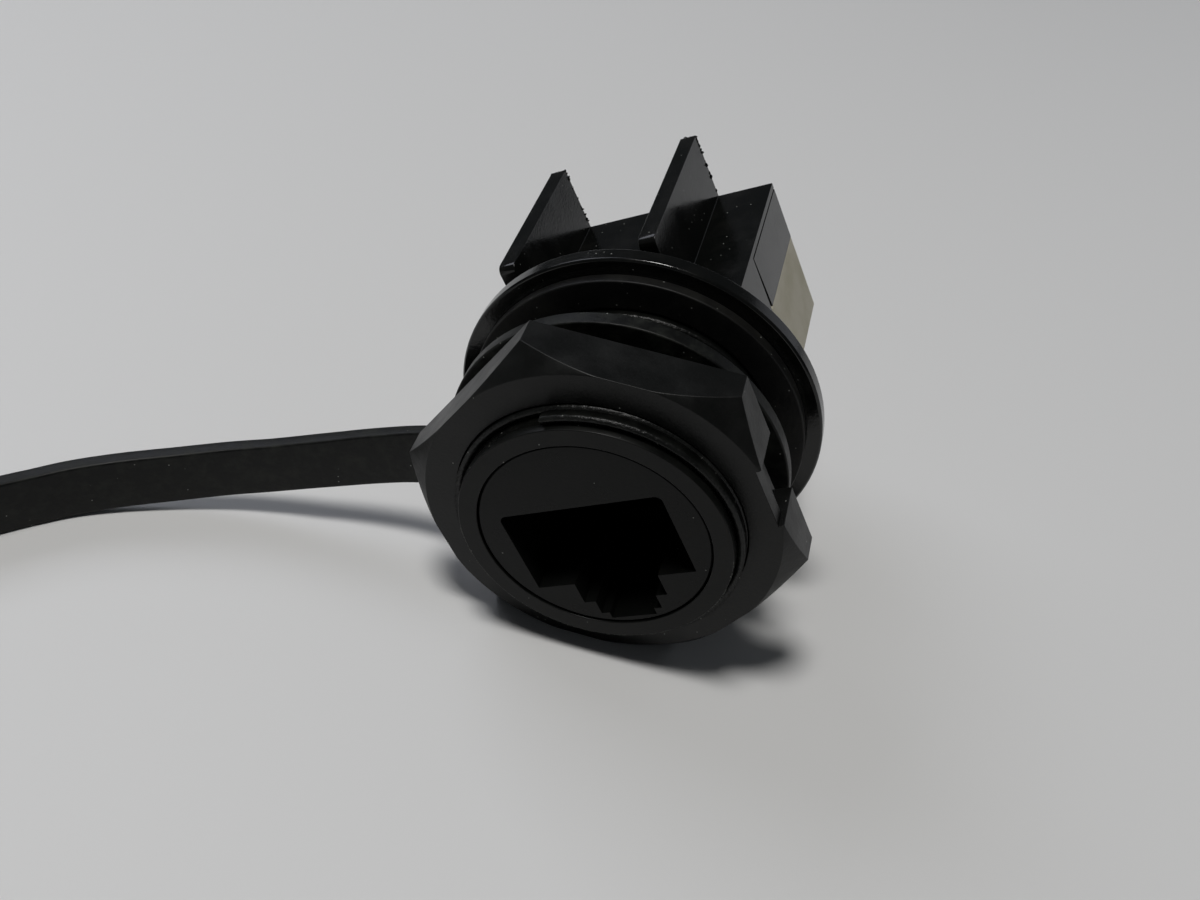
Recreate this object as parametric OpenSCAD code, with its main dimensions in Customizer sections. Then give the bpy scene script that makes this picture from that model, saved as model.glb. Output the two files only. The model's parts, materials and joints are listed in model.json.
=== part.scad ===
// Sealed panel-mount RJ45 jack: threaded barrel with a rear flange, hexagonal
// lock nut, flat gasket and a dust cap on a moulded tether.
//
// Every piece of the connector is drawn on the connector's own axes: the port
// face is at y = 0, +Y runs to the rear along the barrel, +Z is the side away
// from the latch. laid() then puts the connector down on a table, on one flat
// of the nut and on the flange's edge. The origin is the middle of the port face.

/* [Port] */
// Width of the plug opening
port_w = 11.9; // [11.7:0.1:12.1]
// Height of the plug opening, roof to shoulders
port_h = 6.8; // [6.6:0.05:7]
// Height of the opening's roof above the connector's axis
port_top = 2.85; // [2.6:0.05:3]
// Depth of the plug opening
port_depth = 13.4; // [12.8:0.1:14]
// Corner radius at the opening's roof
port_corner = 0.5; // [0.2:0.1:0.8]
// Width of the latch slot between the shoulders
latch_w = 6.3; // [6:0.1:6.6]
// Width of the latch slot below its first ledge
latch_mid_w = 4.6; // [4.2:0.1:5]
// Width of the latch slot at its bottom
latch_low_w = 3.4; // [3:0.1:3.8]
// Depth of the first ledge below the shoulders
latch_ledge = 1.85; // [1.5:0.05:2]
// Depth of the second ledge below the shoulders
latch_step = 3.05; // [2.6:0.05:3.2]
// Depth of the slot's bottom below the shoulders
latch_bottom = 3.6; // [3.4:0.05:3.7]
// How far back the ledges of the latch slot run
latch_len = 9.5; // [8:0.1:11]

/* [Contacts] */
// Number of contact wires
contact_count = 8; // [4:2:8]
// Spacing of the contact wires
contact_pitch = 1.016; // [0.95:0.001:1.05]
// Width of a contact wire
wire_w = 0.4; // [0.3:0.02:0.45]
// Thickness of a contact wire
wire_t = 0.35; // [0.25:0.05:0.4]
// Distance from the port face to the bend of the springs
spring_front = 3.6; // [3:0.1:4.5]
// Length of the sloping spring along the axis
spring_run = 8.9; // [8:0.1:9.2]
// Drop of the spring's free end below the port's roof
spring_drop = 3.1; // [2:0.1:3.6]
// Length of the board tails behind the terminal block
tail_len = 3.2; // [2:0.1:5]
// Spacing of the two rows of tails
tail_row = 2.54; // [2:0.02:2.8]

/* [Insert] */
// Diameter of the port face
insert_d = 16.08; // [16:0.02:16.4]
// Length of the port insert
insert_len = 17.6; // [17:0.1:17.8]
// Depth of the seal groove in the insert
seal_depth = 0.9; // [0.6:0.05:1.2]
// Width of the seal groove in the insert
seal_w = 1.6; // [1.2:0.1:2]

/* [Barrel and flange] */
// Outside diameter of the threaded barrel
thread_d = 20.1; // [19.8:0.05:20.4]
// Diameter of the barrel's rim in front of the chamfer
rim_d = 18.8; // [18.2:0.1:19.2]
// Distance from the port face back to the flange's front
flange_front = 12.9; // [12.4:0.1:13.4]
// Diameter of the flange
flange_d = 27.1; // [26.4:0.1:28]
// Thickness of the flange
flange_t = 1.4; // [1.2:0.1:1.8]
// Break along the flange's edges
edge_break = 0.15; // [0.1:0.05:0.3]

/* [Nut] */
// Width of the nut across its flats
nut_af = 24.5; // [24:0.1:25.5]
// Thickness of the nut
nut_t = 3.82; // [3.4:0.02:4.2]
// Distance from the port face back to the nut's front
nut_front = 1.62; // [1.2:0.02:2]
// Diameter of the chamfer circle on the nut's front face
nut_face_d = 24.7; // [24:0.1:25]
// Width of the spanner notch in one flat
notch_w = 4.7; // [4:0.1:5.5]
// Depth of the shallow front part of the notch
notch_front_depth = 0.35; // [0.2:0.05:0.6]
// Depth of the pocket in the rear part of the notch
notch_rear_depth = 1.2; // [0.8:0.05:1.4]

/* [Gasket] */
// Outside diameter of the gasket
gasket_d = 24.8; // [24:0.1:25.6]
// Thickness of the gasket
gasket_t = 0.92; // [0.6:0.02:1.2]

/* [Tether and dust cap] */
// Outside diameter of the tether ring
ring_d = 24.5; // [23.8:0.1:25]
// Thickness of the ring and of the strap
tether_t = 1.24; // [0.9:0.02:1.4]
// Distance from the port face back to the ring's front
ring_front = 7.16; // [6.6:0.02:7.6]
// Width of the strap
strap_w = 4.5; // [3.8:0.1:4.6]
// Distance from the ring's centre to the end of its tab
tab_reach = 14.2; // [13.6:0.1:14.8]
// How far round the ring the tab sits above the connector's left
tab_turn = 12.5; // [8:0.5:16]
// Outside diameter of the dust cap
cap_d = 23.2; // [22.6:0.1:24]
// Height of the dust cap
cap_h = 8.2; // [7:0.1:9]
// Depth of the hollow in the dust cap
cap_depth = 6.7; // [5.8:0.1:6.9]
// Number of grip ribs round the dust cap
cap_ribs = 28; // [16:1:32]
// Radius of one grip rib
cap_rib_r = 0.5; // [0.3:0.05:0.6]
// Thickness of the flat seal at the bottom of the cap
cap_seal_t = 0.8; // [0.6:0.1:1.2]
// How much narrower the seal's seat is than the cap's bore, on the radius
cap_seat_step = 0.45; // [0.3:0.05:0.7]
// Gap all round between the barrel's thread and the cap's bore
cap_gap = 0.3; // [0.2:0.05:0.5]

/* [Rear body] */
// Distance from the port face back to the rear end
rear_end = 32.65; // [31.5:0.05:34]
// Width of the rear body
body_w = 18.74; // [18:0.02:19.2]
// Height of the body's top above the connector's axis
body_top = 6.19; // [5.9:0.01:6.4]
// Wall of the rear body
body_wall = 1.2; // [1:0.05:1.3]
// Length of the closed collar behind the flange
collar_len = 7.9; // [7.5:0.1:8.2]
// Drop of the collar's underside below the axis
collar_drop = 7; // [6.6:0.1:7.6]
// Thickness of the lip of the top plate over the side plates
lip_t = 0.5; // [0.4:0.05:0.8]
// Height of the fins above the body's top
fin_h = 5.52; // [4.5:0.02:6]
// Thickness of a fin
fin_t = 1.32; // [1.1:0.02:1.6]
// Distance from the axis to the left fin's outer face
left_fin_x = 8.1; // [7.6:0.02:8.4]
// Distance from the axis to the right fin's outer face
right_fin_x = 4.83; // [4.2:0.01:6]
// Distance from the port face back to the left fin's front
left_fin_front = 18; // [17:0.1:19.5]
// Distance from the port face back to the right fin's front
right_fin_front = 17.3; // [17:0.1:19]
// Height of the terminal block's top above the axis
block_top = 1.12; // [0.9:0.01:1.3]
// Drop of the terminal block's underside below the axis
block_drop = 5.61; // [5.4:0.01:6]

/* [Fits] */
// Clearance round the insert in the barrel
insert_fit = 0.06; // [0.03:0.01:0.08]
// Clearance between the nut and the thread
nut_fit = 0.05; // [0.02:0.01:0.09]
// Clearance between the gasket and the barrel
gasket_fit = 0.1; // [0.05:0.05:0.3]
// Play of the tether ring on the barrel
ring_play = 0.35; // [0.3:0.05:0.5]
// Clearance round a contact wire in its slot
wire_fit = 0.06; // [0.03:0.01:0.08]
// Clearance between the pieces of the rear body
body_fit = 0.08; // [0.04:0.02:0.12]

/* [Hidden] */
$fn = 96;
eps = 0.01;
over = 1;               // how far a cutter runs past the face it opens

thread_r = thread_d / 2;
bore_r = insert_d / 2 + insert_fit;
flange_r = flange_d / 2;
flange_back = flange_front + flange_t;
rim_back = 0.11;        // the barrel's rim stands this far in front of the port face
port_floor = port_top - port_h;
nut_back = nut_front + nut_t;
gasket_front = flange_front - gasket_t;
collar_end = flange_back + collar_len;
boss_end = insert_len + 1.6;
plate_bottom = body_top - body_wall;
side_top = body_top - lip_t;

// The pose on the table: the nut's flat whose normal is 240 degrees round the
// axis turns straight down, and the nose drops until the flange touches too.
lay_roll = 30;
lay_pitch = atan((flange_r - nut_af / 2) / (flange_front + edge_break - nut_front));
table_z = nut_front * sin(lay_pitch) - nut_af / 2 * cos(lay_pitch);

// The contact wires seen from the side, as a centre line of [y, z] points.
carrier_gap = 0.2;      // from the port's roof up to the wires' straight run
run_z = port_top + carrier_gap + wire_t / 2;
bend_r = 0.5;
spring_r = 0.4;
drop_y = insert_len + 1.6;
upper_row = -1.2;
function row_z(i) = upper_row - (i % 2) * tail_row;
function contact_x(i) = (i - (contact_count - 1) / 2) * contact_pitch;

// The strap's centre line on the table, from the ring's tab to the cap's lug.
// Heights are above the table.
strap_route = [
    [-15.2, 8.3, 8.2], [-16.6, 8.3, 7.7], [-18.8, 8.1, 6.95], [-21, 7.8, 6.2],
    [-23, 7.4, 5.6], [-26.2, 6.8, 4.6], [-29.2, 6, 3.9], [-32.8, 4.6, 3.2],
    [-36.4, 2.8, 2.75], [-39.2, 1, 2.45], [-41.2, -0.8, 2.3], [-43, -2.7, 2.3],
    [-44.9, -5, 2.3], [-46.5, -7.3, 2.3]
];
cap_dir = [-0.6, -0.8]; // unit vector from the lug to the cap's centre
lug_len = 2.4;
lug_end = [-47.9, -9.4];
cap_at = [lug_end[0] + cap_dir[0] * (cap_d / 2 + lug_len - 0.8),
          lug_end[1] + cap_dir[1] * (cap_d / 2 + lug_len - 0.8)];

function arc(cx, cy, r, a0, a1, n) =
    [for (i = [0:n]) [cx + r * cos(a0 + (a1 - a0) * i / n), cy + r * sin(a0 + (a1 - a0) * i / n)]];

// Offsets a polyline sideways by d, mitred at its corners.
function unit(v) = v / norm(v);
function left_of(v) = [-v[1], v[0]];
function offset_line(p, d) = [for (i = [0:len(p) - 1])
    let (before = unit(p[max(i, 1)] - p[max(i, 1) - 1]),
         after = unit(p[min(i, len(p) - 2) + 1] - p[min(i, len(p) - 2)]),
         mid = unit(left_of(before) + left_of(after)))
    p[i] + mid * d / (mid * left_of(after))];
function reversed(p) = [for (i = [len(p) - 1:-1:0]) p[i]];
function ribbon(p, t) = concat(offset_line(p, t / 2), reversed(offset_line(p, -t / 2)));

module laid() { rotate([lay_pitch, 0, 0]) rotate([0, -lay_roll, 0]) children(); }

// A solid turned about the barrel's axis from a profile of [radius, y] points.
module turned(profile) { rotate([-90, 0, 0]) rotate_extrude() polygon(profile); }

module rod(r, y0, y1) { translate([0, y0, 0]) rotate([-90, 0, 0]) cylinder(r = r, h = y1 - y0); }

// Extrudes an [x, z] outline from y0 back to y1.
module prism(y0, y1) {
    translate([0, y1, 0]) rotate([90, 0, 0]) linear_extrude(y1 - y0) children();
}

// Extrudes a [y, z] outline w wide about x.
module slice(x, w) {
    translate([x - w / 2, 0, 0]) rotate([90, 0, 90]) linear_extrude(w) children();
}

module block(x0, x1, y0, y1, z0, z1) {
    translate([x0, y0, z0]) cube([x1 - x0, y1 - y0, z1 - z0]);
}

// One fin with a rounded front top corner.
module fin(outer_x, front, side) {
    top = body_top + fin_h;
    corner = 0.6;
    slice(outer_x - side * fin_t / 2, fin_t)
        polygon(concat([[rear_end, plate_bottom + eps], [rear_end, top]],
                       arc(front + corner, top - corner, corner, 90, 180, 6),
                       [[front, plate_bottom + eps]]));
}

module shell() {
    nose = [[bore_r, -rim_back], [rim_d / 2, -rim_back], [thread_r, 0.45]];
    flange = [[thread_r, flange_front], [flange_r - edge_break, flange_front],
              [flange_r, flange_front + edge_break], [flange_r, flange_back - edge_break],
              [flange_r - edge_break, flange_back], [bore_r, flange_back]];
    side = body_w / 2;
    color("#1d1d1f") laid() {
        turned(concat(nose, flange));
        // Collar: a round boss round the insert, then a square room for the wires.
        difference() {
            union() {
                block(-side, side, flange_back, collar_end, -collar_drop, body_top);
                rod(side, flange_back, boss_end);
            }
            rod(bore_r, flange_back - over, insert_len + 0.4);
            block(-side + body_wall, side - body_wall, insert_len + 0.4, collar_end + over,
                  -collar_drop + body_wall, plate_bottom);
        }
        block(-side + body_wall, side - body_wall, collar_end - eps, rear_end, plate_bottom, body_top);
        block(-side, side, collar_end - eps, rear_end, side_top, body_top);
        fin(-left_fin_x, left_fin_front, -1);
        fin(right_fin_x, right_fin_front, 1);
    }
}

module lock_nut() {
    corner_r = nut_af / sqrt(3);
    chamfer = corner_r - nut_face_d / 2;
    sink = 0.5;
    flat = nut_af / 2;
    color("#202022") laid() difference() {
        intersection() {
            prism(nut_front, nut_back) rotate(30) circle(r = corner_r, $fn = 6);
            turned([[0, nut_front], [nut_face_d / 2, nut_front],
                    [corner_r + 0.2, nut_front + (chamfer + 0.2) * 0.92],
                    [corner_r + 0.2, nut_back], [0, nut_back]]);
        }
        rod(thread_r + nut_fit, nut_front - over, nut_back + over);
        turned([[0, nut_front - eps], [thread_r + nut_fit + sink, nut_front - eps],
                [thread_r + nut_fit, nut_front + sink], [0, nut_front + sink]]);
        block(flat - notch_front_depth, flat + over, nut_front - over, nut_back + over,
              -notch_w / 2, notch_w / 2);
        block(flat - notch_rear_depth, flat + over, nut_front + nut_t * 0.34, nut_back + over,
              -notch_w / 2, notch_w / 2);
    }
}

module panel_gasket() {
    color("#3a3a3a") laid() difference() {
        rod(gasket_d / 2, gasket_front, flange_front);
        rod(thread_r + gasket_fit, gasket_front - over, flange_front + over);
    }
}

// The ring hangs a little off centre on the barrel, pushed by its strap.
module tether_ring() {
    push = (ring_play - 0.05) / sqrt(2);
    root = 1.6;
    color("#2a2a2b") laid() difference() {
        translate([-push, 0, push]) rotate([0, tab_turn, 0]) {
            rod(ring_d / 2, ring_front, ring_front + tether_t);
            block(-tab_reach, -ring_d / 2 + 1, ring_front, ring_front + tether_t, -strap_w / 2, strap_w / 2);
            for (s = [-1, 1]) prism(ring_front, ring_front + tether_t)
                polygon([[-ring_d / 2 + 1, s * strap_w / 2], [-ring_d / 2 - root, s * strap_w / 2],
                         [-ring_d / 2 + 1, s * (strap_w / 2 + root)]]);
        }
        translate([-push, 0, push])
            rod(thread_r + ring_play, ring_front - over, ring_front + tether_t + over);
    }
}

// One ring of the strap's sweep: a flat eight-sided section standing on edge.
function strap_ring(p, along, lean) =
    let (side = unit([-along[1], along[0], 0]),
         up = unit([lean * cos(atan2(along[1], along[0])), lean * sin(atan2(along[1], along[0])), 1]),
         h = strap_w / 2, t = tether_t / 2, c = tether_t / 4)
    [for (q = [[t, c - h], [t, h - c], [t - c, h], [c - t, h], [-t, h - c], [-t, c - h], [c - t, -h], [t - c, -h]])
        p + side * q[0] + up * q[1]];

module tether_strap() {
    n = len(strap_route);
    end = [lug_end[0], lug_end[1], 2.3];
    start = tab_end();
    p = concat([start], strap_route, [end]);
    rings = [for (i = [0:n + 1])
        strap_ring(p[i] + [0, 0, table_z], p[min(i + 1, n + 1)] - p[max(i - 1, 0)], i < 6 ? tan(lay_roll - tab_turn) * (1 - i / 6) : 0)];
    points = [for (r = rings) each r];
    faces = concat([[for (k = [7:-1:0]) k]],
                   [for (i = [0:n]) for (k = [0:7])
                       [i * 8 + k, i * 8 + (k + 1) % 8, (i + 1) * 8 + (k + 1) % 8, (i + 1) * 8 + k]],
                   [[for (k = [0:7]) (n + 1) * 8 + k]]);
    color("#2a2a2b") polyhedron(points, faces, convexity = 4);
}

// Where the end of the ring's tab lies once the connector is laid down.
function tab_end() =
    let (push = (ring_play - 0.05) / sqrt(2),
         x = -push - tab_reach * cos(tab_turn), y = ring_front + tether_t / 2,
         z = push + tab_reach * sin(tab_turn),
         rx = x * cos(lay_roll) - z * sin(lay_roll),
         rz = x * sin(lay_roll) + z * cos(lay_roll))
    [rx, y * cos(lay_pitch) - rz * sin(lay_pitch),
     y * sin(lay_pitch) + rz * cos(lay_pitch) - table_z];

// The cap lies on its closed end, open side up.
module dust_cap() {
    r = cap_d / 2;
    inner = thread_r + cap_gap;
    color("#232324") translate([cap_at[0], cap_at[1], table_z]) difference() {
        union() {
            rotate_extrude() polygon([[0, 0], [r - 0.6, 0], [r, 0.6], [r, cap_h - 0.3], [r - 0.3, cap_h], [0, cap_h]]);
            for (i = [0:cap_ribs - 1]) rotate(360 * (i + 0.5) / cap_ribs)
                translate([r, 0, 1]) cylinder(r = cap_rib_r, h = cap_h - 2, $fn = 16);
            rotate(atan2(-cap_dir[1], -cap_dir[0]))
                translate([r - 0.8, -tether_t, 0]) cube([lug_len - 0.8 + 0.8, 2 * tether_t, strap_w + 0.3]);
        }
        translate([0, 0, cap_h - cap_depth]) cylinder(r = inner - cap_seat_step, h = cap_depth);
        translate([0, 0, cap_h - cap_depth + cap_seal_t]) cylinder(r = inner, h = cap_depth);
    }
}

module cap_seal() {
    seat = thread_r + cap_gap - cap_seat_step;
    color("#5a5a5c") translate([cap_at[0], cap_at[1], table_z + cap_h - cap_depth]) difference() {
        cylinder(r = seat - 0.1, h = cap_seal_t);
        translate([0, 0, -over]) cylinder(r = rim_d / 2 - 1, h = cap_seal_t + 2 * over);
    }
}

// Outline of the plug opening, with rounded corners at its roof.
module port_outline() {
    w = port_w / 2;
    polygon(concat([[-w, port_floor], [w, port_floor]],
                   arc(w - port_corner, port_top - port_corner, port_corner, 0, 90, 5),
                   arc(-w + port_corner, port_top - port_corner, port_corner, 90, 180, 5)));
}

module latch_outline() {
    half = [[latch_w / 2, port_floor + eps], [latch_w / 2, port_floor - latch_ledge],
            [latch_mid_w / 2, port_floor - latch_ledge], [latch_mid_w / 2, port_floor - latch_step],
            [latch_low_w / 2, port_floor - latch_step], [latch_low_w / 2, port_floor - latch_bottom]];
    polygon(concat(half, reversed([for (q = half) [-q[0], q[1]]])));
}

module jack_insert() {
    r = insert_d / 2;
    seal_y = (port_depth + insert_len) / 2;
    channel = contact_count * contact_pitch / 2 + 0.2;
    color("#1a1a1b") laid() difference() {
        turned([[0, 0], [r - 0.12, 0], [r, 0.12], [r, seal_y - seal_w / 2], [r - seal_depth, seal_y - seal_w / 2],
                [r - seal_depth, seal_y + seal_w / 2], [r, seal_y + seal_w / 2], [r, insert_len], [0, insert_len]]);
        prism(-over, port_depth) port_outline();
        prism(-over, latch_len) latch_outline();
        block(-latch_w / 2, latch_w / 2, latch_len - eps, port_depth,
              port_floor - latch_ledge, port_floor + eps);
        block(-channel, channel, spring_front - 1.2, insert_len + over, port_top - eps, run_z + wire_t / 2 + 0.55);
    }
}

module insert_seal() {
    seal_y = (port_depth + insert_len) / 2;
    r = insert_d / 2 - seal_depth;
    color("#4a2f28") laid() difference() {
        rod(bore_r - 0.02, seal_y - seal_w / 2 + 0.1, seal_y + seal_w / 2 - 0.1);
        rod(r + 0.02, seal_y - seal_w, seal_y + seal_w);
    }
}

// Comb that holds the wires in the roof and guides their free ends.
module contact_carrier() {
    slot = wire_w + 2 * wire_fit;
    half = contact_count * contact_pitch / 2 + 0.14;
    low = port_top - spring_drop - 0.5;
    wire_top = run_z + wire_t / 2;
    color("#2c2c2e") laid() difference() {
        union() {
            block(-half, half, spring_front - 1.1, insert_len, port_top + 0.02, wire_top + 0.5);
            block(-half, half, port_depth - 1.2, port_depth - 0.05, low, port_top + 0.03);
        }
        for (i = [0:contact_count - 1]) {
            block(contact_x(i) - slot / 2, contact_x(i) + slot / 2, spring_front - 2, insert_len + over,
                  port_top - over, wire_top + wire_fit);
            block(contact_x(i) - slot / 2, contact_x(i) + slot / 2, port_depth - 2, port_depth,
                  low + 0.4, port_top + 0.1);
        }
    }
}

// One contact: board tail, rise behind the insert, run along the roof, bend, spring.
module contact(i) {
    z = row_z(i);
    tip = [spring_front + spring_run, port_top - spring_drop];
    line = concat([[rear_end + tail_len, z]],
                  arc(drop_y + bend_r, z + bend_r, bend_r, 270, 180, 3),
                  arc(drop_y - bend_r, run_z - bend_r, bend_r, 0, 90, 3),
                  arc(spring_front, run_z - spring_r, spring_r, 90, 253, 6), [tip]);
    color("#c9a24a") laid() slice(contact_x(i), wire_w) polygon(ribbon(line, wire_t));
}

// Frame behind the collar: side plates, a deck over the terminal block and two
// tongues that plug into the collar.
module rear_module() {
    side = body_w / 2;
    inner = side - body_wall - body_fit;
    front = collar_end + 0.1;
    slant = 0.3;
    color("#1f1f21") laid() difference() {
        union() {
            for (s = [-1, 1]) {
                slice(s * (side - body_wall / 2), body_wall)
                    polygon([[front, side_top - body_fit], [rear_end, side_top - body_fit],
                             [rear_end, block_top], [front + slant, block_top]]);
                block(min(s * inner, s * (inner - 2)), max(s * inner, s * (inner - 2)),
                      insert_len + 0.6, front + slant + over, block_top + 0.2, plate_bottom - body_fit);
            }
            block(-side, side, front + slant, rear_end, block_top, block_top + body_wall);
            block(-side, side, rear_end - body_wall, rear_end, block_top, plate_bottom - body_fit);
        }
        block(side - body_wall - body_fit, side + over, 0, front - eps, -over, body_top);
        block(-side - over, -side + body_wall + body_fit, 0, front - eps, -over, body_top);
    }
}

// Hollow block under the deck; the wires pass through its front and rear walls.
module terminal_block() {
    side = body_w / 2;
    front = collar_end + 0.1;
    slot = wire_w + 2 * wire_fit;
    tall = wire_t + 2 * wire_fit;
    color("#cfc4ad") laid() difference() {
        block(-side, side, front, rear_end, -block_drop, block_top);
        for (s = [-1, 1])
            block(s * side / 2 - side / 2 + body_wall * 0.8, s * side / 2 + side / 2 - body_wall * 0.8,
                  front + body_wall, rear_end - body_wall, -block_drop - over, block_top - body_wall);
        for (i = [0:contact_count - 1])
            block(contact_x(i) - slot / 2, contact_x(i) + slot / 2, front - over, rear_end + over,
                  row_z(i) - tall / 2, row_z(i) + tall / 2);
    }
}

shell();
lock_nut();
panel_gasket();
tether_ring();
tether_strap();
dust_cap();
cap_seal();
jack_insert();
insert_seal();
contact_carrier();
rear_module();
terminal_block();
for (i = [0:contact_count - 1]) contact(i);
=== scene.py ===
# %% [markdown]
# # A sealed panel-mount network jack, lying on a pale table
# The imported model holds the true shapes. This script dresses them: it rounds their edges as a
# mould does, winds the thread, bends the dust cap's strap and gives every piece its own plastic,
# rubber or metal.

# %% Load the frame
import json
import math

import bmesh
import bpy
from mathutils import Matrix, Vector


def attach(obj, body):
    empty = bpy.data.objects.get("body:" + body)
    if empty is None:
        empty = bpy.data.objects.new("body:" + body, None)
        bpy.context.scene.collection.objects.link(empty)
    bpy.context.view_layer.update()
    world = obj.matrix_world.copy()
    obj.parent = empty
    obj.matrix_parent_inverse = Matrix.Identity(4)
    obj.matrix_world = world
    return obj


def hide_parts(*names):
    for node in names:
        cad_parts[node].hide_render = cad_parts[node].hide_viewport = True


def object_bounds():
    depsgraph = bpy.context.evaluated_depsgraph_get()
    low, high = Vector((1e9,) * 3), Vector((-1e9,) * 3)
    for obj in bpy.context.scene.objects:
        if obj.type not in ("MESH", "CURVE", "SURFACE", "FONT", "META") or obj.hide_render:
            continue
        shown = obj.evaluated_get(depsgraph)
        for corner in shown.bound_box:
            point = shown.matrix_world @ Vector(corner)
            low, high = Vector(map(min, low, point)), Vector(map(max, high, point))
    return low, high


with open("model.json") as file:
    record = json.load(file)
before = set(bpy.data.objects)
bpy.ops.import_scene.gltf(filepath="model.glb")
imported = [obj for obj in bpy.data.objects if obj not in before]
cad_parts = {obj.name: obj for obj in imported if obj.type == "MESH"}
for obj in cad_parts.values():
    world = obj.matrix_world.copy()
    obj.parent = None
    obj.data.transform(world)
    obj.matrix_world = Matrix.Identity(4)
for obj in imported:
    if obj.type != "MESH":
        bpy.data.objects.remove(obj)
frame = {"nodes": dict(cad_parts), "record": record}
CAD_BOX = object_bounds()
MM = 0.001
print("the model's box in metres:", CAD_BOX)

# %% [markdown]
# The jack lies on one flat of its nut and on its flange, so its own axes are turned: it leans 30
# degrees to the left and its nose drops 6.5 degrees. Everything on the connector is easiest to
# place on the connector's own axes, so one matrix carries a point from there to the table's
# frame, and its inverse carries it back.

# %% Own axes of the connector
LEAN = math.radians(-30)
NOSE_DROP = math.radians(6.489)
CONNECTOR = Matrix.Rotation(NOSE_DROP, 4, "X") @ Matrix.Rotation(LEAN, 4, "Y")
TABLE = CAD_BOX[0][2]


def on_connector(x, y, z):
    """A point in mm on the connector's axes, as a place in metres on the table."""
    return CONNECTOR @ (Vector((x, y, z)) * MM)


def own_place(place):
    """A place in metres on the table, as a point in mm on the connector's axes."""
    return CONNECTOR.inverted() @ place / MM


print("the table lies at", round(TABLE / MM, 2), "mm")

# %% [markdown]
# Two small helpers serve every piece. One links a new object to the scene, at the origin and
# unturned. The other turns live modifiers into a plain mesh.


# %% Helpers for objects
def placed(name, data):
    """A new object for a mesh, a lamp or a camera, linked to the scene."""
    made = bpy.data.objects.new(name, data)
    bpy.context.scene.collection.objects.link(made)
    return made


def settle(piece):
    """Replaces a piece's mesh and modifiers by the plain mesh that they make."""
    evaluated = piece.evaluated_get(bpy.context.evaluated_depsgraph_get())
    plain = bpy.data.meshes.new_from_object(evaluated)
    piece.modifiers.clear()
    piece.data = plain
    return plain


# %% [markdown]
# ## The camera
# A camera held close, in front of the jack and above it, a little to the right and not quite
# level. A camera's roll is a turn about its own line of sight, so it is added after the camera is
# aimed.

# %% Camera
CAMERA_AT = Vector((7.22, -62.35, 54.29)) * MM
SIGHT = Vector((-0.1002, 0.7943, -0.5992))
CAMERA_ROLL = math.radians(-10.54)
FOCAL_MM = 37.46
SENSOR_MM = 36
NEAREST_SEEN = 5 * MM

camera_data = bpy.data.cameras.new("camera")
camera_data.sensor_width = SENSOR_MM
camera_data.lens = FOCAL_MM
camera_data.clip_start = NEAREST_SEEN
camera = placed("camera", camera_data)
aim = SIGHT.to_track_quat("-Z", "Y").to_matrix().to_4x4()
roll = Matrix.Rotation(CAMERA_ROLL, 4, SIGHT)
camera.matrix_world = Matrix.Translation(CAMERA_AT) @ roll @ aim
bpy.context.scene.camera = camera
print("camera at", [round(c / MM, 1) for c in CAMERA_AT], "mm, lens", FOCAL_MM, "mm")

# %% [markdown]
# ## The strap
# Ring, strap and cap are one soft moulding on the real part. The strap is a flat band that stands
# on its edge: it leaves the ring's tab in the ring's own plane, untwists as it sinks, and rests
# on its edge on the table. A spline through a few listed places gives the route, and a
# rounded section is swept along it.

# %% Strap route
STRAP_WIDTH = 4.5 * MM
STRAP_THICK = 1.24 * MM
STRAP_CORNER = 0.22 * MM
TAB_LEAN = math.tan(math.radians(17.5))
LEAN_STEPS = 6
STEPS_BETWEEN = 8
TAB_END = (-13.72, 8.19, 8.74)
LUG_END = (-47.9, -9.4, 2.3)
ROUTE = [TAB_END, (-15.2, 8.3, 8.2), (-16.6, 8.3, 7.7), (-18.8, 8.1, 6.95), (-21, 7.8, 6.2),
         (-23, 7.4, 5.6), (-26.2, 6.8, 4.6), (-29.2, 6, 3.9), (-32.8, 4.6, 3.2),
         (-36.4, 2.8, 2.75), (-39.2, 1, 2.45), (-41.2, -0.8, 2.3), (-43, -2.7, 2.3),
         (-44.9, -5, 2.3), (-46.5, -7.3, 2.3), LUG_END]
ROUTE = [Vector((x, y, h)) * MM + Vector((0, 0, TABLE)) for x, y, h in ROUTE]


def spline(points, steps):
    """Catmull-Rom places through the points, with the index along the route beside each."""
    ends = [2 * points[0] - points[1]] + points + [2 * points[-1] - points[-2]]
    places = []
    for i in range(len(points) - 1):
        a, b, c, d = ends[i:i + 4]
        for s in range(steps):
            t = s / steps
            place = 0.5 * (2 * b + (c - a) * t + (2 * a - 5 * b + 4 * c - d) * t ** 2
                           + (3 * b - a - 3 * c + d) * t ** 3)
            places.append((place, i + t))
    places.append((points[-1], float(len(points) - 1)))
    return places


STRAP_LINE = spline(ROUTE, STEPS_BETWEEN)
STRAP_LENGTH = sum((b[0] - a[0]).length for a, b in zip(STRAP_LINE, STRAP_LINE[1:]))
print("strap:", round(STRAP_LENGTH / MM, 1), "mm long from tab to lug")


# %% Sweep the strap
def band_section(half_wide, half_thick, corner, per_corner=4):
    """A flat section with rounded corners, as (across, along the width) pairs."""
    section = []
    for sx, sz, start in ((1, 1, 0), (-1, 1, 90), (-1, -1, 180), (1, -1, 270)):
        for k in range(per_corner + 1):
            angle = math.radians(start + 90 * k / per_corner)
            section.append((sx * (half_thick - corner) + corner * math.cos(angle),
                            sz * (half_wide - corner) + corner * math.sin(angle)))
    return section


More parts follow.
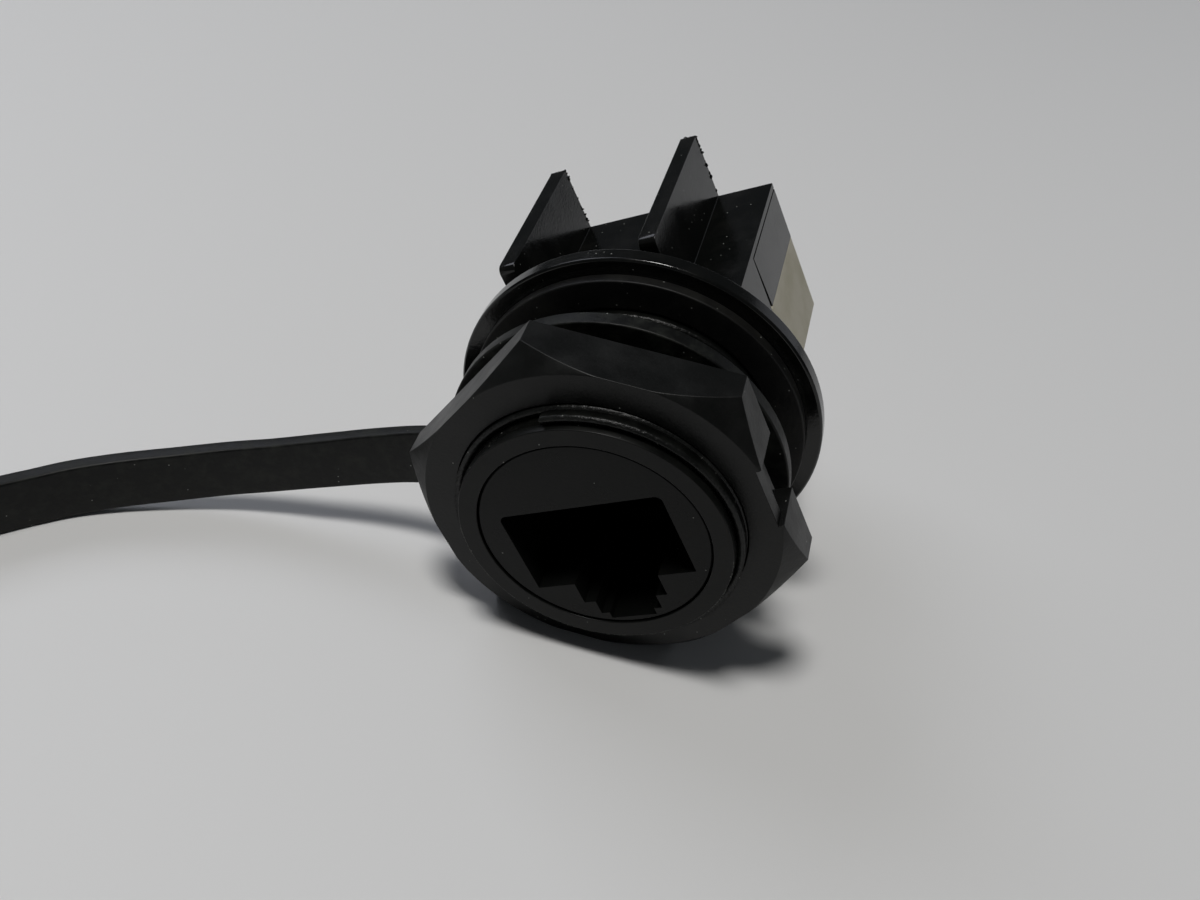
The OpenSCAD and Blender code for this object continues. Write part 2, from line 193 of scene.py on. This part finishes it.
def sweep_band(name, line, section):
    """Carries the section along the line, its width upright apart from the lean at the tab."""
    mesh = bpy.data.meshes.new(name)
    bm = bmesh.new()
    rings = []
    for i, (place, index) in enumerate(line):
        along = line[min(i + 1, len(line) - 1)][0] - line[max(i - 1, 0)][0]
        flat = Vector((along.x, along.y, 0)).normalized()
        lean = TAB_LEAN * max(0, 1 - index / LEAN_STEPS)
        up = (flat * lean + Vector((0, 0, 1))).normalized()
        side = Vector((-flat.y, flat.x, 0))
        rings.append([bm.verts.new(place + side * a + up * b) for a, b in section])
    count = len(section)
    for ring, after in zip(rings, rings[1:]):
        for k in range(count):
            bm.faces.new((ring[k], ring[(k + 1) % count], after[(k + 1) % count], after[k]))
    bm.faces.new(reversed(rings[0]))
    bm.faces.new(rings[-1])
    bmesh.ops.recalc_face_normals(bm, faces=bm.faces)
    bm.to_mesh(mesh)
    bm.free()
    return placed(name, mesh)


strap = sweep_band("strap", STRAP_LINE,
                   band_section(STRAP_WIDTH / 2, STRAP_THICK / 2, STRAP_CORNER))
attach(strap, "jack")
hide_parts("tether_strap")
print("strap mesh:", len(strap.data.polygons), "faces")

# %% [markdown]
# ## Finishes
# Colours are written as sRGB hex, the way a colour card gives them, and one function turns them
# to the linear values that the shader wants. One small helper adds a node with its settings and
# links. A Mix node keeps a socket of each kind under the same name, so another finds the one for
# colours.


# %% Material helpers
def srgb(code):
    """A linear colour from an sRGB hex code."""
    channels = [int(code[i:i + 2], 16) / 255 for i in (1, 3, 5)]
    return [c / 12.92 if c <= 0.04045 else ((c + 0.055) / 1.055) ** 2.4 for c in channels] + [1.0]


def add(tree, kind, links=None, **settings):
    """Adds a node. Settings are its properties or its inputs' values; links name inputs."""
    made = tree.nodes.new(kind)
    for key, value in settings.items():
        if hasattr(made, key):
            setattr(made, key, value)
        else:
            made.inputs[key.replace("_", " ")].default_value = value
    for socket, source in (links or {}).items():
        tree.links.new(source, made.inputs[socket])
    return made


def for_colour(sockets, name):
    """The colour socket of this name on a Mix node."""
    return next(s for s in sockets if s.type == "RGBA" and s.name == name)


def per_mm(size_mm):
    """Scale of a pattern whose features are this size, on coordinates in metres."""
    return 1 / (size_mm * MM)


# %% [markdown]
# The black pieces are injection-moulded nylon. Such a surface is nearly mirror-smooth where the
# tool was polished and faintly mottled where the melt froze: it shows the pale table as a soft
# sheen at grazing angles and is almost black face on. Handling leaves pale dust in specks a tenth
# of a millimetre across, and faint rubbed patches that are a little rougher. A mould's own grain
# is finer than a camera shows, so it is drawn a quarter of a millimetre wide, as coarse as it
# needs to be.

# %% Moulded plastic and rubber
DUST_COLOUR = "#8b8d88"
SPECK_CHANCE = 0.2


def moulded(name, colour, rubbed, roughness, grain_mm=0.25, grain=0.012, dust=0.5, speck_mm=0.55,
            shine=0.24, mottle_mm=3):
    """A moulded surface: base colour, rubbed colour, roughness, fine grain and dust specks."""
    material = bpy.data.materials.new(name)
    material.use_nodes = True
    tree = material.node_tree
    tree.nodes.clear()
    place = add(tree, "ShaderNodeTexCoord").outputs["Object"]

    # Rubbed patches
    mottle = add(tree, "ShaderNodeTexNoise", {"Vector": place},
                 Scale=per_mm(mottle_mm), Detail=6.0, Roughness=0.6)
    worn = add(tree, "ShaderNodeMapRange", {"Value": mottle.outputs["Fac"]},
               From_Min=0.45, From_Max=0.72, To_Min=0.0, To_Max=1.0)
    base = add(tree, "ShaderNodeMix", {"Factor": worn.outputs["Result"]}, data_type="RGBA")
    for_colour(base.inputs, "A").default_value = srgb(colour)
    for_colour(base.inputs, "B").default_value = srgb(rubbed)

    # Dust: a small dot in the middle of a few of the cells
    cells = add(tree, "ShaderNodeTexVoronoi", {"Vector": place},
                Scale=per_mm(speck_mm), Randomness=1.0)
    speck = add(tree, "ShaderNodeMapRange", {"Value": cells.outputs["Distance"]},
                From_Min=0.04, From_Max=0.12, To_Min=1.0, To_Max=0.0)
    lottery = add(tree, "ShaderNodeSeparateColor", {"Color": cells.outputs["Color"]})
    chosen = add(tree, "ShaderNodeMath", {0: lottery.outputs["Red"]}, operation="LESS_THAN")
    chosen.inputs[1].default_value = SPECK_CHANCE * dust
    dusty = add(tree, "ShaderNodeMath", {0: speck.outputs["Result"], 1: chosen.outputs["Value"]},
                operation="MULTIPLY")
    mixed = add(tree, "ShaderNodeMix", {"Factor": dusty.outputs["Value"]}, data_type="RGBA")
    for_colour(mixed.inputs, "B").default_value = srgb(DUST_COLOUR)
    tree.links.new(for_colour(base.outputs, "Result"), for_colour(mixed.inputs, "A"))

    # Roughness and fine grain
    rough = add(tree, "ShaderNodeMapRange", {"Value": mottle.outputs["Fac"]},
                From_Min=0.3, From_Max=0.75, To_Min=roughness - 0.05, To_Max=roughness + 0.12)
    fine = add(tree, "ShaderNodeTexNoise", {"Vector": place}, Scale=per_mm(grain_mm), Detail=3.0)
    bump = add(tree, "ShaderNodeBump", {"Height": fine.outputs["Fac"]},
               Strength=0.6, Distance=grain * MM)
    shader = add(tree, "ShaderNodeBsdfPrincipled",
                 {"Base Color": for_colour(mixed.outputs, "Result"),
                  "Roughness": rough.outputs["Result"], "Normal": bump.outputs["Normal"]},
                 IOR=1.53)
    shader.inputs["Specular IOR Level"].default_value = shine
    add(tree, "ShaderNodeOutputMaterial", {"Surface": shader.outputs["BSDF"]})
    return material


FINISHES = {
    # Nylon from a polished tool: its flats mirror the pale table at a low angle
    "black_nylon": moulded("moulded_black_nylon", "#080908", "#121210", 0.13, dust=1.0, shine=0.36),
    # The nut's tool was left satin, so its flats hold a broad soft sheen
    "nut_nylon": moulded("moulded_black_nut_nylon", "#080908", "#111211", 0.4, grain=0.02,
                         dust=0.4),
    # Smooth ABS with little shine face on: the darkest of the plastics
    "insert_plastic": moulded("polished_black_abs", "#0a0b0a", "#0e0f0e", 0.28, dust=0.25,
                              shine=0.12),
    "cap_plastic": moulded("satin_black_abs", "#0b0c0b", "#141413", 0.42, grain=0.03, dust=0.6),
    # Rubber is matt, and dust clings to it
    "gasket_rubber": moulded("black_nitrile_rubber", "#0a0a0a", "#1a1a17", 0.48, grain=0.03,
                             dust=1.8),
    # The soft strap is matt too, with small cloudy patches from handling
    "tether_rubber": moulded("black_soft_elastomer", "#080908", "#1f211d", 0.45, grain_mm=0.4,
                             grain=0.04, dust=0.8, shine=0.2, mottle_mm=1.1),
    # PBT in a dull warm beige, matt all over
    "beige_plastic": moulded("beige_pbt", "#b8b3a2", "#aca792", 0.5, grain=0.015, dust=0.2),
}
# The thread and the nose are rubbed by the nut and the cap, which dulls them
WORN_THREAD = moulded("worn_black_nylon", "#0b0c0b", "#1a1b19", 0.34, grain_mm=0.3, grain=0.12,
                      dust=1.4)
DULL_NOSE = moulded("rubbed_black_nylon", "#090a09", "#131412", 0.34, dust=0.6, shine=0.15)
# Flash crumbs in pale grey: the grey is a painted highlight on the rough rim of the nose
FLASH_PAINTED_HIGHLIGHT = moulded("moulding_flash_painted_highlight", "#4b4d49", "#6f716c", 0.6, grain_mm=0.1, grain=0.03,
                     dust=0.0)
print("moulded finishes:", ", ".join(FINISHES))

# %% [markdown]
# The contact wires are phosphor bronze, plated with hard gold. A metal keeps the default IOR, and
# its colour is the colour of its reflections. Drawing the wire leaves faint lines, which are
# shown as a slight uneven sheen.

# %% Gold-plated wire
gold = bpy.data.materials.new("gold_plated_bronze_wire")
gold.use_nodes = True
gold_tree = gold.node_tree
gold_tree.nodes.clear()
gold_place = add(gold_tree, "ShaderNodeTexCoord").outputs["Object"]
gold_uneven = add(gold_tree, "ShaderNodeTexNoise", {"Vector": gold_place},
                  Scale=per_mm(0.4), Detail=3.0)
gold_rough = add(gold_tree, "ShaderNodeMapRange", {"Value": gold_uneven.outputs["Fac"]},
                 From_Min=0.3, From_Max=0.7, To_Min=0.18, To_Max=0.34)
gold_shader = add(gold_tree, "ShaderNodeBsdfPrincipled",
                  {"Roughness": gold_rough.outputs["Result"]}, Metallic=1.0)
gold_shader.inputs["Base Color"].default_value = srgb("#d8b25a")
add(gold_tree, "ShaderNodeOutputMaterial", {"Surface": gold_shader.outputs["BSDF"]})
FINISHES["contact_metal"] = gold
print("metal finish:", gold.name)

# %% [markdown]
# ## Rounded edges
# A mould can't make a truly sharp edge, and it is the rounding, a tenth of a millimetre or two,
# that catches the light as a thin bright line. Each CAD solid is copied, its flat faces are
# merged to single faces, and a Bevel modifier rounds what is left: the real edges. A Weighted
# Normal modifier keeps the flats flat in reflections. The copy stands for the CAD piece, which
# stays in the collision model.

# %% Round the edges of a CAD piece
SLOT_OF = {part["node"]: part["material_slot"] for part in frame["record"]["subparts"]}
SAME_CORNER = 0.0005 * MM
SAME_FLAT = math.radians(0.6)
REAL_EDGE = math.radians(32)


def join_flats(mesh, merge_corners=False):
    """Joins a mesh's flat faces to single ones, with its doubled corners merged first if asked."""
    bm = bmesh.new()
    bm.from_mesh(mesh)
    if merge_corners:
        bmesh.ops.remove_doubles(bm, verts=bm.verts, dist=SAME_CORNER)
    bmesh.ops.dissolve_limit(bm, angle_limit=SAME_FLAT, verts=bm.verts, edges=bm.edges)
    bm.to_mesh(mesh)
    bm.free()


def merged_copy(node, name):
    """A copy of a CAD piece's mesh with doubles merged and flat faces joined."""
    mesh = frame["nodes"][node].data.copy()
    mesh.name = name
    join_flats(mesh, merge_corners=True)
    return placed(name, mesh)


def finish_piece(piece, node, slot, body):
    """Gives a piece its finish and its place in the frame."""
    piece.data.materials.clear()
    piece.data.materials.append(FINISHES[slot])
    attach(piece, body)
    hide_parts(node)


def round_edges(piece, radius_mm):
    """Bevels the real edges, and weights the normals by area."""
    for polygon in piece.data.polygons:
        polygon.use_smooth = True
    piece.data.set_sharp_from_angle(angle=REAL_EDGE)
    bevel = piece.modifiers.new("rounding", "BEVEL")
    bevel.width = radius_mm * MM
    bevel.segments = 3
    bevel.limit_method = "ANGLE"
    bevel.angle_limit = REAL_EDGE
    bevel.use_clamp_overlap = True
    bevel.miter_outer = "MITER_ARC"
    flats = piece.modifiers.new("flats", "WEIGHTED_NORMAL")
    flats.weight = 100
    flats.thresh = 0.01
    settle(piece)


# %% [markdown]
# Two pieces get a change of form before their edges are rounded. The plug's latch hooks behind
# two short stops at the port's mouth, so the insert is hollow behind them. The nut's countersink
# is hardly there on the real piece: its bore starts almost at the crest of the thread.


# %% Change a piece's form
def cut_away(piece, cutter):
    """Takes one closed mesh out of another, then deletes the cutter."""
    carve = piece.modifiers.new("carve", "BOOLEAN")
    carve.operation = "DIFFERENCE"
    carve.solver = "EXACT"
    carve.object = cutter
    carved = settle(piece)
    bpy.data.objects.remove(cutter)
    join_flats(carved)


def block_on_connector(name, low, high):
    """A closed box between two corners on the connector's own axes, for use as a cutter."""
    bm = bmesh.new()
    bmesh.ops.create_cube(bm, size=1)
    for corner in bm.verts:
        spot = [low[i] if corner.co[i] < 0 else high[i] for i in range(3)]
        corner.co = on_connector(*spot)
    mesh = bpy.data.meshes.new(name)
    bm.to_mesh(mesh)
    bm.free()
    return placed(name, mesh)


def draw_in(mesh, to_radius, chosen):
    """Moves corners to a radius about the barrel's axis. chosen(y, radius) says which ones."""
    moved = 0
    for vertex in mesh.vertices:
        own = own_place(vertex.co)
        radius = math.hypot(own.x, own.z)
        if chosen(own.y, radius):
            scale = to_radius / radius
            vertex.co = on_connector(own.x * scale, own.y, own.z * scale)
            moved += 1
    return moved


# %% Moulded pieces
NUT_FRONT = 1.62
NUT_BORE_R = 10.12
COUNTERSINK_R = 10.8
STOP_DEPTH = 3.3
HOLLOW_END = 11.5
HOLLOW_TOP = -3.0
pieces = {}
for node in ("lock_nut", "jack_insert", "tether_ring", "panel_gasket", "dust_cap", "rear_module",
             "terminal_block"):
    pieces[node] = merged_copy(node, node + "_moulded")

closed = draw_in(pieces["lock_nut"].data, NUT_BORE_R,
                 lambda y, r: abs(y - NUT_FRONT) < 0.02 and NUT_BORE_R < r < COUNTERSINK_R)
print("nut:", closed, "corners of the countersink drawn in")

cut_away(pieces["jack_insert"],
         block_on_connector("hook_room", (-4.5, STOP_DEPTH, -6.0), (4.5, HOLLOW_END, HOLLOW_TOP)))
for left, right in ((-5.95, -4.0), (4.0, 5.95)):
    cut_away(pieces["jack_insert"],
             block_on_connector("stop_room", (left, STOP_DEPTH, -4.9),
                                (right, HOLLOW_END, HOLLOW_TOP)))

ROUNDED = {"lock_nut": 0.12, "jack_insert": 0.08, "tether_ring": 0.14, "panel_gasket": 0.12,
           "dust_cap": 0.15, "rear_module": 0.08, "terminal_block": 0.1}
for node, radius in ROUNDED.items():
    round_edges(pieces[node], radius)
    finish_piece(pieces[node], node, SLOT_OF[node], "nut" if node == "lock_nut" else "jack")
    print(node, "has", len(pieces[node].data.polygons), "faces after rounding")

# %% [markdown]

# %% The strap
print("the strap keeps its swept shape")

# %% [markdown]
# ## The barrel and its thread
# The barrel's CAD solid is a plain cylinder at the thread's outside diameter. Here its wall is
# drawn in to the thread's root, and the ridge is wound on as a helix with a pitch of one
# millimetre. A Spiral curve with a small trapezoid swept along it is all a fine thread needs, and
# Geometry Nodes keep its sizes as named inputs. The nose is rubbed duller than the rest of the
# moulding.

# %% Draw in the barrel
THREAD_R = 10.05
ROOT_R = 9.5
THREAD_FROM = 0.45
THREAD_TO = 12.9
NOSE_END = 0.3
shell = merged_copy("shell", "shell_moulded")
moved = draw_in(shell.data, ROOT_R,
                lambda y, r: abs(r - THREAD_R) < 0.03
                and THREAD_FROM - 0.05 < y < THREAD_TO + 0.05)
round_edges(shell, 0.12)
finish_piece(shell, "shell", "black_nylon", "jack")
shell.data.materials.append(DULL_NOSE)
for polygon in shell.data.polygons:
    if own_place(polygon.center).y < NOSE_END:
        polygon.material_index = 1
print("barrel wall:", moved, "corners drawn in to the root of the thread")

# %% A node tree that winds a thread
TURNS = 11.6
PITCH = 1.0
RIDGE = 0.54
FOOT_WIDTH = 0.94
CREST_WIDTH = 0.22
SUNK = 0.01
THREAD_SIZES = (("Turns", TURNS), ("Middle radius", (ROOT_R + RIDGE / 2 - SUNK) * MM),
                ("Ridge", RIDGE * MM), ("Length", TURNS * PITCH * MM))

tree = bpy.data.node_groups.new("thread_ridge", "GeometryNodeTree")
tree.interface.new_socket("Geometry", in_out="INPUT", socket_type="NodeSocketGeometry")
for label, value in THREAD_SIZES:
    size = tree.interface.new_socket(label, in_out="INPUT", socket_type="NodeSocketFloat")
    size.default_value = value
tree.interface.new_socket("Finish", in_out="INPUT", socket_type="NodeSocketMaterial")
tree.interface.new_socket("Geometry", in_out="OUTPUT", socket_type="NodeSocketGeometry")
given = add(tree, "NodeGroupInput")
spiral = add(tree, "GeometryNodeCurveSpiral",
             {"Rotations": given.outputs["Turns"], "Height": given.outputs["Length"],
              "Start Radius": given.outputs["Middle radius"],
              "End Radius": given.outputs["Middle radius"]}, Resolution=72)
spiral.inputs["Reverse"].default_value = True
level = add(tree, "GeometryNodeSetCurveNormal", {"Curve": spiral.outputs["Curve"]}, mode="Z_UP")
profile = add(tree, "GeometryNodeCurvePrimitiveQuadrilateral",
              {"Height": given.outputs["Ridge"]}, mode="TRAPEZOID",
              Bottom_Width=FOOT_WIDTH * MM, Top_Width=CREST_WIDTH * MM, Offset=0.0)
upright = add(tree, "GeometryNodeTransform", {"Geometry": profile.outputs["Curve"]},
              Rotation=(0, 0, math.radians(90)))
ridge = add(tree, "GeometryNodeCurveToMesh",
            {"Curve": level.outputs["Curve"], "Profile Curve": upright.outputs["Geometry"]})
ridge.inputs["Fill Caps"].default_value = True
real = add(tree, "GeometryNodeRealizeInstances", {"Geometry": ridge.outputs["Mesh"]})
dressed = add(tree, "GeometryNodeSetMaterial",
              {"Geometry": real.outputs["Geometry"], "Material": given.outputs["Finish"]})
add(tree, "NodeGroupOutput", {"Geometry": dressed.outputs["Geometry"]})
print("thread tree:", len(tree.nodes), "nodes")

# %% Wind the thread
START_ANGLE = math.radians(-88)
FIRST_RIDGE_Y = 0.62


def input_sockets(group):
    """The identifiers of a node group's inputs, by name."""
    return {item.name: item.identifier for item in group.interface.items_tree
            if item.in_out == "INPUT"}


thread = placed("thread_ridge", bpy.data.meshes.new("thread_ridge"))
winding = thread.modifiers.new("winding", "NODES")
winding.node_group = tree
sockets = input_sockets(tree)
winding[sockets["Finish"]] = WORN_THREAD
for label, value in THREAD_SIZES:
    winding[sockets[label]] = value
wound = settle(thread)
along_barrel = Matrix.Translation((0, FIRST_RIDGE_Y * MM, 0)) @ Matrix.Rotation(
    math.radians(-90), 4, "X")
wound.transform(CONNECTOR @ along_barrel @ Matrix.Rotation(START_ANGLE, 4, "Z"))
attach(thread, "jack")
print("thread:", len(wound.polygons), "faces")

# %% [markdown]
# ## Burrs and flash
# The fins look clipped off a longer strip, with a ragged edge, and the nose of the barrel has a
# rough line where the mould parted. Both are rows of tiny crumbs; those on the nose are pale grey,
# a painted highlight on its lower rim. One node group lays them along a path, at random sizes and
# turns, and keeps only a share of them, so the row looks torn and not threaded like beads.

# %% Crumbs along a path
ANY_TURN = (6.28, 6.28, 6.28)
SMALLEST_CRUMB = (0.2, 0.25, 0.3)
LARGEST_CRUMB = (1.0, 1.1, 1.5)
CRUMB_INPUTS = (("Spacing", "NodeSocketFloat", 0.2 * MM), ("Size", "NodeSocketFloat", 0.1 * MM),
                ("Share kept", "NodeSocketFloat", 0.6), ("Seed", "NodeSocketInt", 1))

crumbs = bpy.data.node_groups.new("crumbs_on_path", "GeometryNodeTree")
crumbs.interface.new_socket("Geometry", in_out="INPUT", socket_type="NodeSocketGeometry")
for label, kind, value in CRUMB_INPUTS:
    crumbs.interface.new_socket(label, in_out="INPUT", socket_type=kind).default_value = value
crumbs.interface.new_socket("Finish", in_out="INPUT", socket_type="NodeSocketMaterial")
crumbs.interface.new_socket("Geometry", in_out="OUTPUT", socket_type="NodeSocketGeometry")
got = add(crumbs, "NodeGroupInput")
path = add(crumbs, "GeometryNodeMeshToCurve", {"Mesh": got.outputs["Geometry"]})
stations = add(crumbs, "GeometryNodeResampleCurve",
               {"Curve": path.outputs["Curve"], "Length": got.outputs["Spacing"]}, mode="LENGTH")
crumb = add(crumbs, "GeometryNodeMeshIcoSphere", {"Radius": got.outputs["Size"]}, Subdivisions=2)
kept = add(crumbs, "FunctionNodeRandomValue",
           {"Probability": got.outputs["Share kept"], "Seed": got.outputs["Seed"]},
           data_type="BOOLEAN")
turn = add(crumbs, "FunctionNodeRandomValue", {"Seed": got.outputs["Seed"]},
           data_type="FLOAT_VECTOR")
turn.inputs["Max"].default_value = ANY_TURN
grow = add(crumbs, "FunctionNodeRandomValue", {"Seed": got.outputs["Seed"]},
           data_type="FLOAT_VECTOR")
grow.inputs["Min"].default_value = SMALLEST_CRUMB
grow.inputs["Max"].default_value = LARGEST_CRUMB
yes_or_no = kept.outputs[3]
laid = add(crumbs, "GeometryNodeInstanceOnPoints",
           {"Points": stations.outputs["Curve"], "Instance": crumb.outputs["Mesh"],
            "Selection": yes_or_no, "Rotation": turn.outputs["Value"],
            "Scale": grow.outputs["Value"]})
crumbs_real = add(crumbs, "GeometryNodeRealizeInstances",
                  {"Geometry": laid.outputs["Instances"]})
crumbs_set = add(crumbs, "GeometryNodeSetMaterial",
                 {"Geometry": crumbs_real.outputs["Geometry"], "Material": got.outputs["Finish"]})
add(crumbs, "NodeGroupOutput", {"Geometry": crumbs_set.outputs["Geometry"]})
crumb_sockets = input_sockets(crumbs)


def lay_crumbs(name, places, spacing, size, share, seed, finish):
    """A row of crumbs along the places, given in mm on the connector's own axes."""
    mesh = bpy.data.meshes.new(name)
    mesh.from_pydata([on_connector(*place) for place in places],
                     [(i, i + 1) for i in range(len(places) - 1)], [])
    row = placed(name, mesh)
    laying = row.modifiers.new("laying", "NODES")
    laying.node_group = crumbs
    for label, value in (("Spacing", spacing * MM), ("Size", size * MM), ("Share kept", share),
                         ("Seed", seed), ("Finish", finish)):
        laying[crumb_sockets[label]] = value
    made = settle(row)
    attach(row, "jack")
    print(name, "has", len(made.polygons), "faces")


print("crumb tree:", len(crumbs.nodes), "nodes")

# %% Lay the burrs and the flash
REAR = 32.56
FIN_FOOT = 6.6
FIN_TOP = 11.62
BODY_TOP = 6.1
BODY_LEFT, BODY_RIGHT = -6.0, 9.28
BODY_SIDE_END = 1.4
NOSE_R = 9.42
NOSE_Y = -0.07
FLASH_HIGHLIGHT_ANGLES = range(165, 345, 5)

for name, inner, outer, seed in (("burr_left_fin", -6.84, -8.02, 3),
                                 ("burr_right_fin", 4.77, 3.58, 8)):
    edge = [(inner, REAR, FIN_FOOT), (inner, REAR, FIN_TOP), (outer, REAR, FIN_TOP)]
    lay_crumbs(name, edge, spacing=0.2, size=0.19, share=0.6, seed=seed,
               finish=FINISHES["black_nylon"])
rim = [(BODY_LEFT, REAR, BODY_TOP), (BODY_RIGHT, REAR, BODY_TOP), (BODY_RIGHT, REAR, BODY_SIDE_END)]
lay_crumbs("burr_body_edge", rim, spacing=0.3, size=0.09, share=0.3, seed=5,
           finish=FINISHES["black_nylon"])
# The crumbs on the nose's lower rim are pale grey, a painted highlight
arc = [(NOSE_R * math.cos(math.radians(a)), NOSE_Y, NOSE_R * math.sin(math.radians(a)))
       for a in FLASH_HIGHLIGHT_ANGLES]
lay_crumbs("flash_painted_highlight_on_nose", arc, spacing=0.12, size=0.045, share=0.7, seed=11, finish=FLASH_PAINTED_HIGHLIGHT)

# %% [markdown]
# ## Pieces whose shape is right as it is
# The wires, the seals and the comb keep their CAD meshes and only take their finishes. So does
# the strap, whose long faces are shaded smooth.

# %% Dress the strap and the CAD pieces
strap.data.materials.append(FINISHES["tether_rubber"])
for polygon in strap.data.polygons:
    polygon.use_smooth = True
strap.data.set_sharp_from_angle(angle=math.radians(40))
DRESSED = ["cap_seal", "insert_seal", "contact_carrier"] + [f"contact_{i}" for i in range(1, 9)]
for node in DRESSED:
    mesh = frame["nodes"][node].data
    mesh.materials.clear()
    mesh.materials.append(FINISHES[SLOT_OF[node]])
print("dressed:", ", ".join(DRESSED))

# %% [markdown]
# ## Table and light
# A pale table top under a small soft lamp, nearly overhead and a little to the front left, which
# throws the short shadows. A window high on the left and a pale card low at the back fill in.
# Black plastic shows its surroundings more than its own colour, so the wide pale table does most
# of the work: it is what shines in the flats of the nut and in the sides of the fins. A sun along
# the same line as the lamp lights the far table, which the lamp can't reach.

# %% Table
bpy.ops.mesh.primitive_plane_add(size=3.0, location=(0, 0.2, TABLE))
table = bpy.context.object
table.name = "table"
laminate = bpy.data.materials.new("white_laminate")
laminate.use_nodes = True
laminate_shader = laminate.node_tree.nodes["Principled BSDF"]
laminate_shader.inputs["Base Color"].default_value = srgb("#d9d9d8")
laminate_shader.inputs["Roughness"].default_value = 0.55
table.data.materials.append(laminate)
print("table:", [round(side, 2) for side in table.dimensions[:2]], "m")

# %% Lamps
CEILING_AT = Vector((-0.075, -0.105, 0.48))


def facing(direction):
    """A turn that points a lamp along the direction."""
    return direction.to_track_quat("-Z", "Y").to_matrix().to_4x4()


def panel_lamp(name, at, toward, size, watts, colour):
    """A soft rectangular lamp, aimed at a point."""
    lamp = bpy.data.lights.new(name, "AREA")
    lamp.shape = "RECTANGLE"
    lamp.size, lamp.size_y = size
    lamp.energy = watts
    lamp.color = srgb(colour)[:3]
    aimed = facing(Vector(toward) - Vector(at))
    placed(name, lamp).matrix_world = Matrix.Translation(at) @ aimed


panel_lamp("ceiling", CEILING_AT, (0, 0, 0), (0.11, 0.11), 0.76, "#fffcf8")
panel_lamp("left_window", (-0.42, 0.26, 0.42), (0, 0, 0), (0.4, 0.3), 0.95, "#f0f4ff")
panel_lamp("back_card", (0.38, 0.62, 0.17), (0, 0.02, 0), (0.5, 0.3), 0.17, "#f4f7ff")
sun = bpy.data.lights.new("far_ceiling", "SUN")
sun.energy = 1.0
sun.angle = math.radians(13)
placed("far_ceiling", sun).matrix_world = facing(-CEILING_AT)

# %% [markdown]
# The room is much darker than the table, and the black plastic has to mirror that. The camera
# sees a pale background past the table's edge instead, so a side view isn't dark at the top.

# %% World
ROOM_STRENGTH = 0.12
world = bpy.data.worlds.new("room")
bpy.context.scene.world = world
world.use_nodes = True
room_tree = world.node_tree
dim = room_tree.nodes["Background"]
dim.inputs["Color"].default_value = srgb("#a3a8ae")
dim.inputs["Strength"].default_value = ROOM_STRENGTH
pale = add(room_tree, "ShaderNodeBackground", Strength=1.0)
pale.inputs["Color"].default_value = srgb("#bfbfbd")
seen = add(room_tree, "ShaderNodeLightPath")
both = add(room_tree, "ShaderNodeMixShader",
           {0: seen.outputs["Is Camera Ray"], 1: dim.outputs["Background"],
            2: pale.outputs["Background"]})
room_tree.links.new(both.outputs["Shader"], room_tree.nodes["World Output"].inputs["Surface"])
bpy.context.scene.view_settings.view_transform = "Standard"
print("room strength:", ROOM_STRENGTH)
